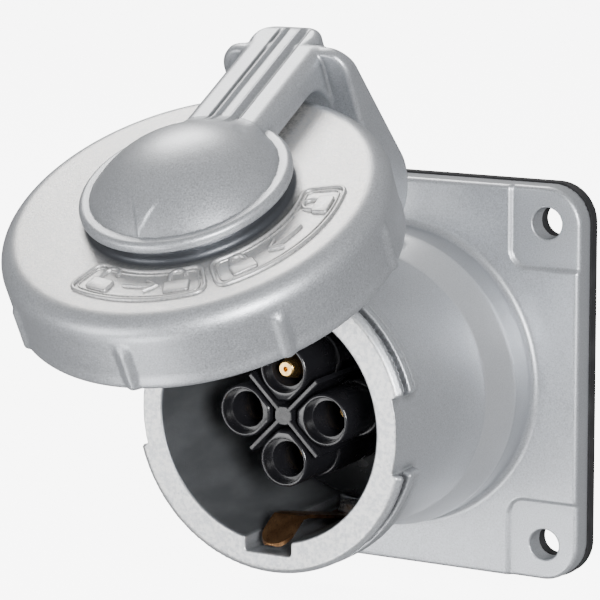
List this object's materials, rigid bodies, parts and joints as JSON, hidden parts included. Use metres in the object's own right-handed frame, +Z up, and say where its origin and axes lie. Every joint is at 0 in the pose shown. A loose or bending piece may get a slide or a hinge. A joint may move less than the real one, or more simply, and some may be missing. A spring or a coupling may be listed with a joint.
{
  "type": "flanged power inlet",
  "caption": "Flanged pin-and-sleeve power inlet: square flange, round barrel with bayonet segments, recessed contacts and a hinged, turning cap.",
  "frame": {"origin": "centre of the four flange bolts, on the wall face of the gasket", "axes": "+Y into the wall, the barrel points along -Y, +Z up with the hinge on top, +X right as seen from the front"},
  "size_m": [0.116, 0.1913, 0.1649],
  "materials": {
    "cast_aluminium": "fine-grained cast and lacquered, soft sheen",
    "gasket_rubber": "matt black",
    "black_plastic": "glossy moulded",
    "brass": "machined",
    "bronze": "dark rolled spring strip",
    "plated_steel": "zinc plated"
  },
  "bodies": {
    "housing": {"housing": "cast_aluminium", "flange_gasket": "gasket_rubber", "insulator_front": "black_plastic", "contact_tubes": "black_plastic", "insulator_webs": "black_plastic", "insulator_rear": "black_plastic", "insulator_screws": "plated_steel", "ground_pin": "brass", "line_pin_left": "brass", "line_pin_right": "brass", "line_pin_bottom": "brass", "wire_lugs": "brass", "terminal_screws": "plated_steel", "ground_strip_screw": "plated_steel", "ground_strip_washer": "plated_steel", "hinge_pin": "plated_steel", "hinge_washers": "plated_steel"},
    "ground_strip": {"ground_strip": "bronze"},
    "arm": {"cover_arm": "cast_aluminium", "cap_wave_spring": "plated_steel", "pivot_screw": "plated_steel", "pivot_washer": "plated_steel"},
    "cap": {"cap": "cast_aluminium", "cap_gasket": "gasket_rubber", "gasket_plate": "plated_steel", "gasket_plate_screws": "plated_steel"}
  },
  "joints": [
    {"name": "cover_swing", "type": "hinge", "parent": "housing", "child": "arm", "pos_m": [0, -0.0552, 0.0611], "axis": [1, 0, 0], "range_deg": [-38, 62.5]},
    {"name": "cap_turn", "type": "hinge", "parent": "arm", "child": "cap", "pos_m": [0, -0.12662, 0.06597], "axis": [0, 0.4617, -0.887], "range_deg": [0, 66]},
    {"name": "strip_flex", "type": "hinge", "parent": "housing", "child": "ground_strip", "pos_m": [0, -0.04, -0.0363], "axis": [1, 0, 0], "range_deg": [0, 1.7], "stiffness_Nm_per_rad": 2}
  ]
}
